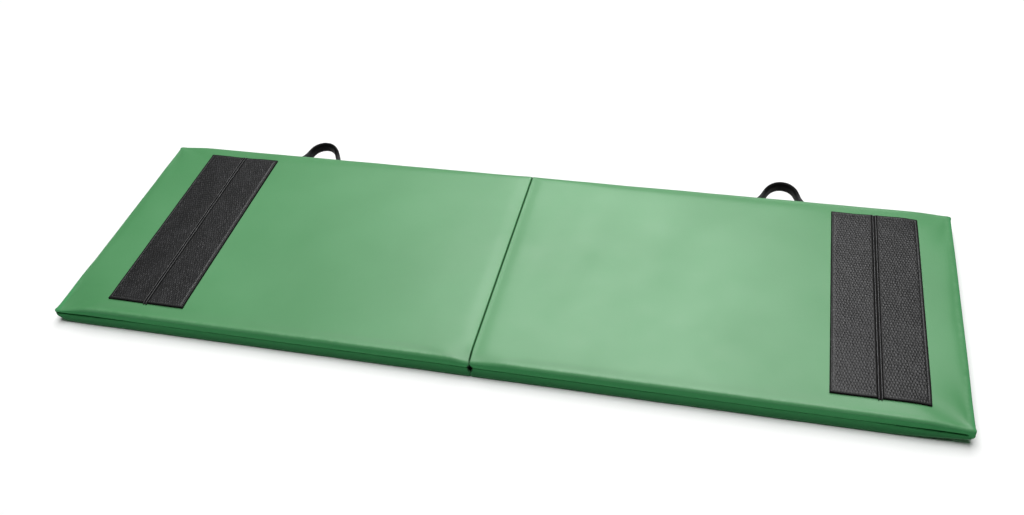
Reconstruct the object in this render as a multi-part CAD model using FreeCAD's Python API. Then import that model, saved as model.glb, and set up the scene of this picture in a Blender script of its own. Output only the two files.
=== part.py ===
import FreeCAD, Part
import math
import os

# Folding gym mat: two foam panels in a vinyl cover, joined by a fabric hinge along the bottom.
# Millimetres. X runs along the mat, Y from front to back, Z up; the origin is on the floor at the fold.
# Everything is drawn on the +X side; the left panel's parts are then mirrored.

V = FreeCAD.Vector

# whole mat
HALF_LENGTH = 950.0
HALF_WIDTH = 300.0
THICK = 50.0
MID = THICK / 2
SKIN = 1.0                 # vinyl thickness

# panel outline
EDGE_R = 8.0               # soft top and bottom edges of the long walls
END_R = 10.0               # soft top and bottom edges of the outer end
CORNER_R = 8.0             # upright corners of the outer end, seen from above
CREASE = 2.8               # how far the closing seam is drawn in
LOBE_SHARE = 0.3           # share of the crease depth reached half way down a wall
JOINT_HALF_GAP = 0.6       # from the fold to each inner end wall, low down
GROOVE_HALF = 1.6          # the same at the foot of the groove's rounding
GROOVE_R = 6.0
HEEL_R = 1.2               # bottom edge of the inner end

# pieces of the cover
BAND_REACH = 8.0           # how far the inner end band runs back along the walls
END_RETURN = 16.0          # how far the end wrap runs back along the walls
SLIT_LENGTH = 170.0
SLIT_HALF = 1.6
SLIT_DEPTH = 5.0
CORNER_HOLE_R = 2.6
CORNER_HOLE_IN = 15.0      # from the outer end
JOINT_HOLE_R = 4.0
JOINT_HOLE_DEPTH = 12.0
THREAD = 0.8
THREAD_PROUD = 0.4

# hinge strip, let in flush with the bottom
HINGE_REACH = 30.0
HINGE_LAP = 0.2            # the left half runs this far past the fold
HINGE_ROWS = (21.0, 26.0)  # stitch rows, from the fold

# grip patches on top
PATCH_IN = {"left": 656.0, "right": 695.0}       # from the fold to each patch
PATCH_WIDTH = 182.0
PATCH_HALF_LENGTH = 262.0
STRIP_THICK = 2.4
STRIP_ROUND = 0.8
WELT_HALF = 4.5
RIDGE_OFFSET = 2.5
RIDGE_R = 1.8
WELT_OVERHANG = 3.5
STITCH_INSET = 5.0

# carry handles
HANDLE_X = {"left": 560.0, "right": 584.0}       # from the fold to each handle's middle
WEB_WIDTH = 25.0
WEB_THICK = 2.0
GRIP_THICK = 10.0          # webbing folded round a soft core
LOOP_REACH = 84.0
CAP_R = 32.0
LEG_SLANT = 25.0           # degrees from straight out
SWING_UP = 60.0            # degrees
SWING_DOWN = 8.0           # degrees, to where the two loops would meet on the folded mat
PIVOT_OUT = 1.0            # swing axis, out from the wall
SWEEP_CLEAR = 1.8          # kept by the loop's root from the plane through the swing axis
TAB_START = 58.6
TAB_LENGTH = 30.0
TAB_ROUND = 3.0
BOX_INSET = 3.5

FAR = 40.0                 # margin of cutting blocks


def block(x0, x1, y0, y1, z0, z1):
    return Part.makeBox(x1 - x0, y1 - y0, z1 - z0, V(x0, y0, z0))


def arc(a, b, c):
    return Part.Arc(a, b, c).toShape()


def corner(start, end, centre, radius):
    """Quarter arc from start to end round centre."""
    middle = (start + end) * 0.5 - centre
    return arc(start, centre + middle.normalize() * radius, end)


def prism(edges, direction):
    return Part.Face(Part.Wire(edges)).extrude(direction)


def wall_edges(side, inset):
    """Edges of one long wall in the YZ plane, from the top edge to the bottom edge."""
    radius = EDGE_R - inset
    half = HALF_WIDTH - inset
    top = THICK - inset
    low = inset
    crease = V(0, side * (half - CREASE), MID)
    shoulder = V(0, side * half, top - radius)
    heel = V(0, side * half, low + radius)
    bulge_y = side * (half - CREASE * LOBE_SHARE)
    upper_mid = V(0, bulge_y, (shoulder.z + MID) / 2)
    lower_mid = V(0, bulge_y, (heel.z + MID) / 2)
    top_start = V(0, side * (half - radius), top)
    low_end = V(0, side * (half - radius), low)
    return [
        corner(top_start, shoulder, V(0, side * (half - radius), top - radius), radius),
        arc(shoulder, upper_mid, crease),
        arc(crease, lower_mid, heel),
        corner(heel, low_end, V(0, side * (half - radius), low + radius), radius),
    ]


def across_prism(inset):
    """The mat's section across its width, run along X."""
    flat = HALF_WIDTH - EDGE_R
    top = THICK - inset
    back = wall_edges(1, inset)
    front = [edge.copy() for edge in wall_edges(-1, inset)]
    top_line = Part.makeLine(V(0, -flat, top), V(0, flat, top))
    low_line = Part.makeLine(V(0, flat, inset), V(0, -flat, inset))
    edges = Part.__sortEdges__([top_line] + back + [low_line] + front)
    return prism(edges, V(HALF_LENGTH + FAR, 0, 0))


def along_prism(inset):
    """The panel's outline seen from the front, run along Y."""
    top = THICK - inset
    out = HALF_LENGTH - inset
    near = JOINT_HALF_GAP + inset
    groove = GROOVE_HALF + inset
    heel = HEEL_R
    end_r = END_R - inset
    points = [
        V(near + heel, 0, inset),
        V(near, 0, inset + heel),
        V(near, 0, MID),
        V(groove, 0, top - GROOVE_R),
        V(groove + GROOVE_R, 0, top),
        V(out - end_r, 0, top),
        V(out, 0, top - end_r),
        V(out, 0, inset + end_r),
        V(out - end_r, 0, inset),
    ]
    edges = [
        corner(points[0], points[1], V(near + heel, 0, inset + heel), heel),
        Part.makeLine(points[1], points[2]),
        Part.makeLine(points[2], points[3]),
        corner(points[3], points[4], V(groove + GROOVE_R, 0, top - GROOVE_R), GROOVE_R),
        Part.makeLine(points[4], points[5]),
        corner(points[5], points[6], V(out - end_r, 0, top - end_r), end_r),
        Part.makeLine(points[6], points[7]),
        corner(points[7], points[8], V(out - end_r, 0, inset + end_r), end_r),
        Part.makeLine(points[8], points[0]),
    ]
    solid = prism(edges, V(0, 2 * HALF_WIDTH + FAR, 0))
    solid.translate(V(0, -HALF_WIDTH - FAR / 2, 0))
    return solid


def plan_prism(inset):
    """The panel seen from above, with its two rounded outer corners."""
    out = HALF_LENGTH - inset
    half = HALF_WIDTH - inset
    radius = CORNER_R - inset
    outline = block(0, out, -half, half, -FAR, THICK + FAR)
    uprights = [
        edge for edge in outline.Edges
        if abs(edge.BoundBox.XMin - out) < 0.01 and edge.BoundBox.ZLength > THICK
    ]
    return outline.makeFillet(radius, uprights)


def panel_solid(inset):
    return across_prism(inset).common(along_prism(inset)).common(plan_prism(inset))


def joint_hole():
    """Opening at the fold where the walls of the two panels meet, front and back."""
    front = Part.makeCylinder(JOINT_HOLE_R, JOINT_HOLE_DEPTH, V(0, -HALF_WIDTH, MID), V(0, 1, 0))
    back = Part.makeCylinder(JOINT_HOLE_R, JOINT_HOLE_DEPTH, V(0, HALF_WIDTH, MID), V(0, -1, 0))
    return front.fuse(back)


def seam_gap():
    """The unsewn end of each closing seam, with the round hole that it ends in."""
    x_end = HALF_LENGTH - CORNER_HOLE_IN
    corners = [
        V(x_end - SLIT_LENGTH, 0, MID),
        V(x_end, 0, MID + SLIT_HALF),
        V(x_end, 0, MID - SLIT_HALF),
    ]
    wedge = Part.Face(Part.makePolygon(corners + corners[:1])).extrude(V(0, SLIT_DEPTH, 0))
    hole = Part.makeCylinder(CORNER_HOLE_R, SLIT_DEPTH, V(x_end, 0, MID), V(0, 1, 0))
    gap = wedge.fuse(hole)
    front = gap.copy()
    front.translate(V(0, -HALF_WIDTH, 0))
    back = gap.copy()
    back.translate(V(0, HALF_WIDTH - SLIT_DEPTH, 0))
    return front.fuse(back)


def hinge_block(start):
    flat = HALF_WIDTH - EDGE_R
    return block(start, HINGE_REACH, -flat, flat, 0, SKIN)


def hinge_threads():
    """Two flush stitch rows that hold the hinge strip to the panel."""
    flat = HALF_WIDTH - EDGE_R
    inset = HINGE_REACH - HINGE_ROWS[-1]
    rows = [
        block(x, x + THREAD, inset - flat, flat - inset, 0, THREAD_PROUD)
        for x in HINGE_ROWS
    ]
    return Part.makeCompound(rows)


def flap_block(side, upper):
    """The part of the cover that one side flap takes up."""
    flat = HALF_WIDTH - EDGE_R
    y0, y1 = sorted((side * flat, side * (HALF_WIDTH + FAR)))
    z0, z1 = (MID, THICK + FAR) if upper else (-FAR, MID)
    return block(BAND_REACH, HALF_LENGTH - END_RETURN, y0, y1, z0, z1)


def band_block():
    wide = HALF_WIDTH + FAR
    return block(-FAR, BAND_REACH, -wide, wide, -FAR, THICK - GROOVE_R)


def seam_threads(outer, handle_x):
    """Thread of the two closing seams, from the inner end band to where the seam stops."""
    x_end = HALF_LENGTH - CORNER_HOLE_IN - SLIT_LENGTH
    y_in = HALF_WIDTH - CREASE
    threads = []
    for side in (-1, 1):
        y0, y1 = sorted((side * (y_in - THREAD), side * (y_in + THREAD)))
        bar = block(BAND_REACH, x_end, y0, y1, MID - THREAD / 2, MID + THREAD / 2)
        threads.append(bar.cut(outer))
    back = threads[1].cut([tab_block(handle_x, -1), tab_block(handle_x, 1)])
    return Part.makeCompound([threads[0], back])


def cover_pieces(outer, inner, hinge):
    """The cover of one panel, cut into its sewn pieces."""
    openings = [seam_gap(), joint_hole()]
    shell = outer.cut(inner).cut(openings)
    blocks = {
        "front_upper_flap": flap_block(-1, True),
        "front_lower_flap": flap_block(-1, False),
        "back_upper_flap": flap_block(1, True),
        "back_lower_flap": flap_block(1, False),
        "inner_end_band": band_block(),
    }
    without_hinge = shell.cut(hinge)
    pieces = {name: without_hinge.common(shape) for name, shape in blocks.items()}
    pieces["cover_sheet"] = without_hinge.cut(list(blocks.values()))
    return pieces


def foam_layers(inner):
    foam = inner.cut([seam_gap(), joint_hole()])
    wide = HALF_WIDTH + FAR
    above = block(-FAR, HALF_LENGTH + FAR, -wide, wide, MID, THICK + FAR)
    below = block(-FAR, HALF_LENGTH + FAR, -wide, wide, -FAR, MID)
    return {"upper_foam": foam.common(above), "lower_foam": foam.common(below)}


def strip(x0, x1):
    """One leather-look strip of the grip patch, its top edges slightly rounded."""
    body = block(x0, x1, -PATCH_HALF_LENGTH, PATCH_HALF_LENGTH, THICK, THICK + STRIP_THICK)
    top_edges = [edge for edge in body.Edges if edge.BoundBox.ZMin > THICK + STRIP_THICK - 0.01]
    return body.makeFillet(STRIP_ROUND, top_edges)


def stitch_ring(x0, x1):
    """A closed run of raised thread round the inside of a strip's edge."""
    y = PATCH_HALF_LENGTH - STITCH_INSET
    z0 = THICK + STRIP_THICK
    z1 = z0 + THREAD_PROUD
    a, b = x0 + STITCH_INSET, x1 - STITCH_INSET
    solid = block(a, b, -y, y, z0, z1)
    hole = block(a + THREAD, b - THREAD, THREAD - y, y - THREAD, z0 - 1, z1 + 1)
    return solid.cut(hole)


def welt(x):
    """Double-ridged seam between the two strips; it runs a little past both ends."""
    y = PATCH_HALF_LENGTH + WELT_OVERHANG
    base = block(x - WELT_HALF, x + WELT_HALF, -y, y, THICK, THICK + STRIP_THICK)
    ridges = []
    for offset in (-RIDGE_OFFSET, RIDGE_OFFSET):
        start = V(x + offset, -y, THICK + STRIP_THICK)
        ridges.append(Part.makeCylinder(RIDGE_R, 2 * y, start, V(0, 1, 0)))
    return base.fuse(ridges)


def patch_pieces(inner):
    outer = inner + PATCH_WIDTH
    middle = (inner + outer) / 2
    inner_edge = middle - WELT_HALF
    outer_edge = middle + WELT_HALF
    rings = [stitch_ring(inner, inner_edge), stitch_ring(outer_edge, outer)]
    return {
        "patch_inner_strip": strip(inner, inner_edge),
        "patch_outer_strip": strip(outer_edge, outer),
        "patch_welt": welt(middle),
        "patch_stitching": Part.makeCompound(rings),
    }


def loop_half_edges(offset):
    """Points of half the handle loop in plan, pushed out by offset: root, cap tangent and apex."""
    slant = math.radians(LEG_SLANT)
    radius = CAP_R + offset
    centre_y = HALF_WIDTH + LOOP_REACH - WEB_THICK / 2 - CAP_R
    tangent = V(radius * math.cos(slant), centre_y + radius * math.sin(slant), 0)
    run = (tangent.y - HALF_WIDTH) / math.cos(slant)
    root = tangent + V(math.sin(slant), -math.cos(slant), 0) * run
    apex = V(0, centre_y + radius, 0)
    return root, tangent, apex


def handle_loop(handle_x):
    """Padded webbing loop standing out from the back wall, its width upright."""
    half = WEB_THICK / 2
    root_out, tangent_out, apex_out = loop_half_edges(half)
    root_in, tangent_in, apex_in = loop_half_edges(half - GRIP_THICK)

    def flip(p):
        return V(-p.x, p.y, p.z)

    edges = [
        Part.makeLine(root_out, tangent_out),
        arc(tangent_out, apex_out, flip(tangent_out)),
        Part.makeLine(flip(tangent_out), flip(root_out)),
        Part.makeLine(flip(root_out), flip(root_in)),
        Part.makeLine(flip(root_in), flip(tangent_in)),
        arc(flip(tangent_in), apex_in, tangent_in),
        Part.makeLine(tangent_in, root_in),
        Part.makeLine(root_in, root_out),
    ]
    loop = prism(edges, V(0, 0, WEB_WIDTH))
    loop.translate(V(handle_x, 0, MID - WEB_WIDTH / 2))
    return loop.cut(swing_room(handle_x))


def swing_room(handle_x):
    """Wedges cut from the loop's roots, so that it clears the wall over its whole swing."""
    pivot_y = HALF_WIDTH + PIVOT_OUT
    wedges = []
    for turn in (-SWING_UP, SWING_DOWN):
        room = block(handle_x - 2 * TAB_START, handle_x + 2 * TAB_START,
                     pivot_y - FAR, pivot_y + SWEEP_CLEAR, MID - FAR, MID + FAR)
        room.rotate(V(0, pivot_y, MID), V(1, 0, 0), turn)
        wedges.append(room)
    return wedges


def tab_block(handle_x, side):
    """Block that one sewn end of the webbing takes up; side is along X from the handle's middle."""
    x0, x1 = sorted((handle_x + side * TAB_START, handle_x + side * (TAB_START + TAB_LENGTH)))
    return block(x0, x1, HALF_WIDTH - CREASE - THREAD, HALF_WIDTH + WEB_THICK,
                 MID - WEB_WIDTH / 2, MID + WEB_WIDTH / 2)


def handle_tab(handle_x, side, outer):
    body = tab_block(handle_x, side)
    end_x = handle_x + side * (TAB_START + TAB_LENGTH)
    far_edges = [
        edge for edge in body.Edges
        if abs(edge.CenterOfMass.x - end_x) < 0.01 and edge.BoundBox.YLength > WEB_THICK
    ]
    return body.makeFillet(TAB_ROUND, far_edges).cut(outer)


def box_stitch(handle_x, side):
    """Box with a cross in it, sewn through a tab."""
    half_x = TAB_LENGTH / 2 - BOX_INSET
    half_z = WEB_WIDTH / 2 - BOX_INSET
    centre = V(handle_x + side * (TAB_START + TAB_LENGTH / 2), HALF_WIDTH + WEB_THICK, MID)
    y0, y1 = centre.y, centre.y + THREAD_PROUD
    frame = block(centre.x - half_x, centre.x + half_x, y0, y1, MID - half_z, MID + half_z)
    hole = block(centre.x - half_x + THREAD, centre.x + half_x - THREAD, y0 - 1, y1 + 1,
                 MID - half_z + THREAD, MID + half_z - THREAD)
    frame = frame.cut(hole)
    reach = math.hypot(half_x, half_z) - THREAD
    tilt = math.degrees(math.atan2(half_z, half_x))
    bars = []
    for sign in (-1, 1):
        bar = block(-reach, reach, y0, y1, -THREAD / 2, THREAD / 2)
        bar.rotate(V(0, 0, 0), V(0, 1, 0), sign * tilt)
        bar.translate(V(centre.x, 0, MID))
        bars.append(bar)
    return frame.fuse(bars)


def handle_pieces(handle_x, outer):
    return {
        "handle_loop": handle_loop(handle_x),
        "handle_inner_tab": handle_tab(handle_x, -1, outer),
        "handle_outer_tab": handle_tab(handle_x, 1, outer),
        "handle_stitching": Part.makeCompound([box_stitch(handle_x, -1), box_stitch(handle_x, 1)]),
    }


def side_pieces(side):
    """All the pieces of one panel, drawn at +X."""
    hinge_start = JOINT_HALF_GAP if side == "right" else -HINGE_LAP
    handle_x = HANDLE_X[side]
    outer = panel_solid(0.0)
    inner = panel_solid(SKIN)
    hinge = hinge_block(hinge_start)
    threads = hinge_threads()
    pieces = foam_layers(inner)
    pieces.update(cover_pieces(outer, inner, hinge_block(0.0)))
    pieces["hinge_strip"] = hinge.cut(threads)
    pieces["hinge_stitching"] = threads
    pieces["seam_thread"] = seam_threads(outer, handle_x)
    pieces.update(patch_pieces(PATCH_IN[side]))
    pieces.update(handle_pieces(handle_x, outer))
    return pieces


def save(name, shape):
    shape.exportStep(os.path.join("parts", name + ".step"))


os.makedirs("parts", exist_ok=True)
for piece, shape in side_pieces("right").items():
    save("right_" + piece, shape)
for piece, shape in side_pieces("left").items():
    save("left_" + piece, shape.mirror(V(0, 0, 0), V(1, 0, 0)))
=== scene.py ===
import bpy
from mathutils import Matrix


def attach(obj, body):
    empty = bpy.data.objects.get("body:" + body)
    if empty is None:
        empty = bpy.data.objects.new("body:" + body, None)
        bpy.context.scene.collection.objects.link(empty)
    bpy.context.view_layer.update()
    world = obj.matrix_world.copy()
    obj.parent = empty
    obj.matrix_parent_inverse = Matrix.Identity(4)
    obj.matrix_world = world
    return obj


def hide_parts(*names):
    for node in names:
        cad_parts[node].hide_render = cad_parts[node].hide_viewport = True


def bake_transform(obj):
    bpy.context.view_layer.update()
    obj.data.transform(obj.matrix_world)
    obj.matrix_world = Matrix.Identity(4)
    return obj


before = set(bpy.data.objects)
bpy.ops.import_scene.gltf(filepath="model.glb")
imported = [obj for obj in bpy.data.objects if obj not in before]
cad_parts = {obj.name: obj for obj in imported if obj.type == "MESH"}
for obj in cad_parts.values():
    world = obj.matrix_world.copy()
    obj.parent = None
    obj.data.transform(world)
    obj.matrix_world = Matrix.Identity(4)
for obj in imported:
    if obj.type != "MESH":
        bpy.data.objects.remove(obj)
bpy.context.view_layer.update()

# A folding gym mat lying open: two padded vinyl panels, grained grip patches and webbing carry loops.
# Lengths in the named values are millimetres, as in part.py; MM turns them into Blender's metres.

import math
import random

import bmesh
import bpy
import numpy as np
from mathutils import Euler, Vector, noise
from mathutils.bvhtree import BVHTree

MM = 0.001
SIDES = {"left": -1, "right": 1}

# camera
CAMERA_AT = (497.93, -1528.65, 1546.77)
CAMERA_TURN = (46.95418, 4.25742, 13.40528)    # degrees, XYZ Euler
LENS = 34.8805
SENSOR = 36.0

# lights, in metres and watts
CEILING = 5.5                                  # height
CEILING_WIDE = 4.6
CEILING_ROWS = ((-1.2, 1.8, 100), (0.6, 1.8, 195), (2.5, 2.0, 135), (4.5, 2.0, 125))   # Y, depth, power
SHEEN_AT = (2.7, 2.65)                         # Y, Z
SHEENS = ((-0.4, 0.0, 1.2, 36), (0.5, 0.4, 1.2, 17), (-1.4, -0.4, 1.4, 6))   # X, target X, size, power
AMBIENT = 0.01
FLOOR_HALF = 20.0
FLOOR_GREY = 0.89

# colours, linear
GREEN = ((0.064, 0.236, 0.087), (0.078, 0.263, 0.104))         # two shades, blended in clouds
GREEN_WORN = (0.16, 0.36, 0.19)
GREEN_WALL = (0.046, 0.262, 0.086)
# painted shade: the walls' lower half is coloured darker, as if in the shade under the bulge
GREEN_LOW_SHADE = (0.027, 0.152, 0.052)                              # lower half of the walls
GREEN_HOLLOW_SHADE = (0.005, 0.026, 0.010)                             # hollows that no light reaches
GREEN_HINGE = ((0.045, 0.150, 0.065), (0.055, 0.170, 0.075))
GREEN_THREAD = ((0.030, 0.110, 0.045), (0.060, 0.190, 0.085))
# the darkest black: painted shade on the grip strips' edges and in the welts' gaps, and the weave's darker
# threads
DEEP_BLACK = (0.001, 0.001, 0.001)
PEBBLE_BLACK = ((0.003, 0.003, 0.003), (0.014, 0.014, 0.015))  # between pebbles and on top of them
PIPING_BLACK = ((0.032, 0.032, 0.033), (0.052, 0.052, 0.054))
THREAD_BLACK = ((0.045, 0.045, 0.047), (0.150, 0.150, 0.155))
WEB_BLACK = (0.004, 0.004, 0.005)
PATCH_DUST = (0.032, 0.032, 0.034)
# painted sheen on the webbing's tabs and the lower part of its legs
WEB_SHEEN = (0.045, 0.045, 0.047)
FOAM_GREY = ((0.62, 0.63, 0.61), (0.75, 0.76, 0.74))

# panels; where two values are given by side, -1 is the left panel and 1 the right
LENGTH = 950.0
HALF_WIDTH = 300.0
THICK = 50.0
MID = THICK / 2
EDGE_R = 8.0
LOW_R = 2.5                                    # bottom edges of the long walls
END_R = 10.0
CORNER_R = 6.0
INNER_CORNER_R = 3.0
LOW_INNER_R = 1.5                              # bottom edges at the fold
GROOVE_R = {-1: 4.0, 1: 3.0}                   # top edges at the fold
JOINT_GAP = 0.05                               # from the fold to the inner end, at the seam's height
GROOVE_GAP = 0.5                               # the same, at the top
CREASE = 2.8                                   # how far the walls draw in at the seam
CREASE_SPAN = 17.0                             # how far above and below it that reaches
CREASE_FADE = 6.0                              # over how much of the length it ends
HINGE_REACH = 30.0
HINGE_THICK = 1.0
HINGE_ROWS = (21.4, 26.4)                      # stitch rows, from the fold
HOLE_IN = {-1: -3.0, 1: 15.0}                  # seam's round hole, in from the outer end; left, past it
HOLE_R = 2.8
SLIT_LENGTH = {-1: 230.0, 1: 170.0}
SLIT_HALF = 2.8                                # half the height of the seam where it gapes most
SEAM_HALF = 0.2                                # and where it is sewn
SLIT_DEPTH = 9.0
JOINT_HOLE_HALF = (5.0, 7.5)                   # along X and up
JOINT_HOLE_DEPTH = 14.0
CORNER_DROP = {-1: 15.0, 1: 7.5}               # how far the front outer corners sink
BACK_DROP = 5.5                                # and the back ones
CORNER_SPAN = (120.0, 220.0)                   # how far that reaches along X and Y
CORNER_LIFT = {-1: (6.0, 60.0, 2.0), 1: (15.0, 160.0, 1.5)}     # rise underneath, reach and power
EAR = {-1: 15.0, 1: 1.5}                       # how far the front outer corners stick out
EAR_SPAN = {-1: 160.0, 1: 80.0}                # how far along the end that reaches
BACK_EAR = 0.35                                # the back ones, as a share
END_OUT = {-1: 0.0, 1: 3.6}                    # how far the stuffing fills out the whole end
END_FADE = 40.0                                # how far in those two reach
GROOVE_CORNER = {-1: (7.0, 42.0, 36.0), 1: (5.0, 75.0, 36.0)}   # drop, reach along X, reach back

# rows of vertices: distances in from an edge, then an even step
END_ROWS = (0, 1.2, 3, 5, 8, 10, 12, 13.5, 15, 16.5, 18, 20, 24, 30, 40)
INNER_ROWS = (0, 1, 2.2, 3.6, 5.2, 7.5, 11, 16, 24, 34)
SIDE_ROWS = (0, 1, 2.2, 4, 6.5, 10, 15, 22, 32)
PANEL_STEP = 12.5
WALL_ROWS = (0, 1, 2.2, 4, 6.5, 10, 14, 18, 21.5)
SHOULDER_ROW = 1.4
LIP_ROW = 0.5
INSIDE_ROW = 0.15
FOAM_ROWS = (0, 2, 6, 14)
FOAM_STEP = 60.0
STRIP_ROWS = (0, 0.6, 1.4)

# padding
PAD_FRAMES = 20
PAD_PRESSURE = 4.0
PAD_MOST = 2.2
SWELL = (0.3, 150.0)                           # height and spacing
RIPPLE = (0.15, 45.0)
PUCKER = (0.6, 70.0)

# patches
PATCH_IN = {"left": 656.0, "right": 695.0}     # from the fold
PATCH_WIDTH = 182.0
PATCH_HALF = 262.0
WELT_HALF = 4.5
STRIP_THICK = 3.6
PEBBLE_SIZE = (5.4, 7.0)
PEBBLE_HEIGHT = 1.0
PEBBLE_STEP = 1.4                              # between a strip's points
CURL = (1.6, 14.0)                             # rise of a strip's short ends, and how far in
CHANNEL = (0.8, 1.3)                           # depth and width of the stitched channel
EDGE_ROLL = 0.9
STITCH_IN = 5.5
STITCH_LONG = 3.6
STITCH_GAP = 1.3
THREAD_R = 0.5
SEAM_STITCH = (12.0, 4.6)                      # first one's distance from the fold, and pitch
SEAM_THREAD_R = 0.35
RIDGE_OFFSET = 2.9
RIDGE_R = 1.25

# carry loops
HANDLE_X = {"left": 560.0, "right": 584.0}     # from the fold to the middle
WEB_WIDTH = 25.0
WEB_THICK = 1.9
GRIP_THICK = 11.5                              # folded round the soft core
LOOP_REACH = 79.2
LOOP_OUTLINE = (                               # one half, from the tab's end to the middle: across and out
    (88.6, 1.9), (80, 1.9), (72, 2.0), (66, 2.6), (61, 4.6), (56.8, 8.8), (52.7, 14.5), (49, 21), (46, 28),
    (43.5, 35.5), (41, 43), (38, 50.5), (34, 58.3), (28.2, 66), (20.2, 73), (11, 77.6), (0, LOOP_REACH))
LOOP_LEAN = {"left": -9.0, "right": 1.0}       # how far the middle leans along X
TAB_START = 58.6
TAB_LENGTH = 30.0


def smooth(value):
    value = np.clip(value, 0.0, 1.0)
    return value * value * (3 - 2 * value)


# ---------------------------------------------------------------- camera, floor and light

def make_camera():
    data = bpy.data.cameras.new("camera")
    data.lens = LENS
    data.sensor_width = SENSOR
    camera = bpy.data.objects.new("camera", data)
    camera.location = Vector(CAMERA_AT) * MM
    camera.rotation_euler = Euler([math.radians(a) for a in CAMERA_TURN])
    bpy.context.collection.objects.link(camera)
    bpy.context.scene.camera = camera


def area_light(name, spot, target, size, power):
    data = bpy.data.lights.new(name, "AREA")
    data.shape = "RECTANGLE"
    data.size, data.size_y = size
    data.energy = power
    light = bpy.data.objects.new(name, data)
    light.location = spot
    light.rotation_euler = (Vector(target) - Vector(spot)).to_track_quat("-Z", "Y").to_euler()
    bpy.context.collection.objects.link(light)
    return light


def make_lights():
    """A bank of soft boxes overhead, and soft reflections for the vinyl's sheen that light nothing else."""
    for row, (y, deep, power) in enumerate(CEILING_ROWS):
        area_light(f"ceiling_{row}", (0, y, CEILING), (0, y, 0), (CEILING_WIDE, deep), power)
    for row, (x, target_x, size, power) in enumerate(SHEENS):
        sheen = area_light(f"sheen_{row}", (x, *SHEEN_AT), (target_x, 0, 0), (size, size), power)
        sheen.visible_diffuse = False
    world = bpy.data.worlds.new("studio")
    bpy.context.scene.world = world
    world.use_nodes = True
    background = world.node_tree.nodes["Background"]
    background.inputs["Color"].default_value = (1, 1, 1, 1)
    background.inputs["Strength"].default_value = AMBIENT
    settings = bpy.context.scene.view_settings
    settings.view_transform = "Standard"
    settings.look = "None"


def make_floor():
    mesh = bpy.data.meshes.new("floor")
    shape = bmesh.new()
    bmesh.ops.create_grid(shape, x_segments=8, y_segments=8, size=FLOOR_HALF)
    shape.to_mesh(mesh)
    shape.free()
    floor = bpy.data.objects.new("floor", mesh)
    bpy.context.collection.objects.link(floor)
    material, shader, _ = new_material("studio_floor")
    shader.inputs["Base Color"].default_value = (FLOOR_GREY, FLOOR_GREY, FLOOR_GREY, 1)
    shader.inputs["Roughness"].default_value = 0.9
    shader.inputs["Specular IOR Level"].default_value = 0.0
    mesh.materials.append(material)


# ---------------------------------------------------------------- materials

def new_material(name):
    material = bpy.data.materials.new(name)
    material.use_nodes = True
    nodes = material.node_tree.nodes
    return material, nodes["Principled BSDF"], material.node_tree


def node(tree, kind, **values):
    """A new node, with its inputs set by name and its settings by attribute."""
    made = tree.nodes.new(kind)
    for key, value in values.items():
        if key in made.inputs:
            made.inputs[key].default_value = value
        else:
            setattr(made, key, value)
    return made


def place(tree, stretch=(1, 1, 1), turn=(0, 0, 0)):
    """Coordinates in metres on the object, stretched and turned."""
    source = node(tree, "ShaderNodeTexCoord")
    mapping = node(tree, "ShaderNodeMapping")
    mapping.inputs["Scale"].default_value = stretch
    mapping.inputs["Rotation"].default_value = [math.radians(a) for a in turn]
    tree.links.new(source.outputs["Object"], mapping.inputs["Vector"])
    return mapping.outputs["Vector"]


def noise_node(tree, vector, scale, detail=3.0, roughness=0.5):
    made = node(tree, "ShaderNodeTexNoise", Scale=scale, Detail=detail, Roughness=roughness)
    tree.links.new(vector, made.inputs["Vector"])
    return made.outputs["Fac"]


def ramp(tree, value, low, high):
    """Maps value to 0 at low and 1 at high."""
    made = node(tree, "ShaderNodeMapRange", clamp=True)
    made.inputs["From Min"].default_value = low
    made.inputs["From Max"].default_value = high
    tree.links.new(value, made.inputs["Value"])
    return made.outputs["Result"]


def spread(tree, value, low, high):
    """Maps 0 to 1 onto low to high."""
    made = node(tree, "ShaderNodeMapRange", clamp=True)
    made.inputs["To Min"].default_value = low
    made.inputs["To Max"].default_value = high
    tree.links.new(value, made.inputs["Value"])
    return made.outputs["Result"]


def mix(tree, factor, first, second):
    """Blends two colours, each a tuple or another node's output."""
    made = node(tree, "ShaderNodeMix", data_type="RGBA")
    tree.links.new(factor, made.inputs["Factor"])
    for name, colour in (("A", first), ("B", second)):
        socket = [s for s in made.inputs if s.name == name and s.type == "RGBA"][0]
        if isinstance(colour, tuple):
            socket.default_value = (*colour, 1)
        else:
            tree.links.new(colour, socket)
    return [s for s in made.outputs if s.type == "RGBA"][0]


def bump(tree, height, strength, distance, before=None):
    made = node(tree, "ShaderNodeBump")
    made.inputs["Strength"].default_value = strength
    made.inputs["Distance"].default_value = distance
    tree.links.new(height, made.inputs["Height"])
    if before is not None:
        tree.links.new(before, made.inputs["Normal"])
    return made.outputs["Normal"]


def attribute(tree, name):
    made = node(tree, "ShaderNodeAttribute", attribute_name=name)
    return made.outputs["Fac"]


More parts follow.
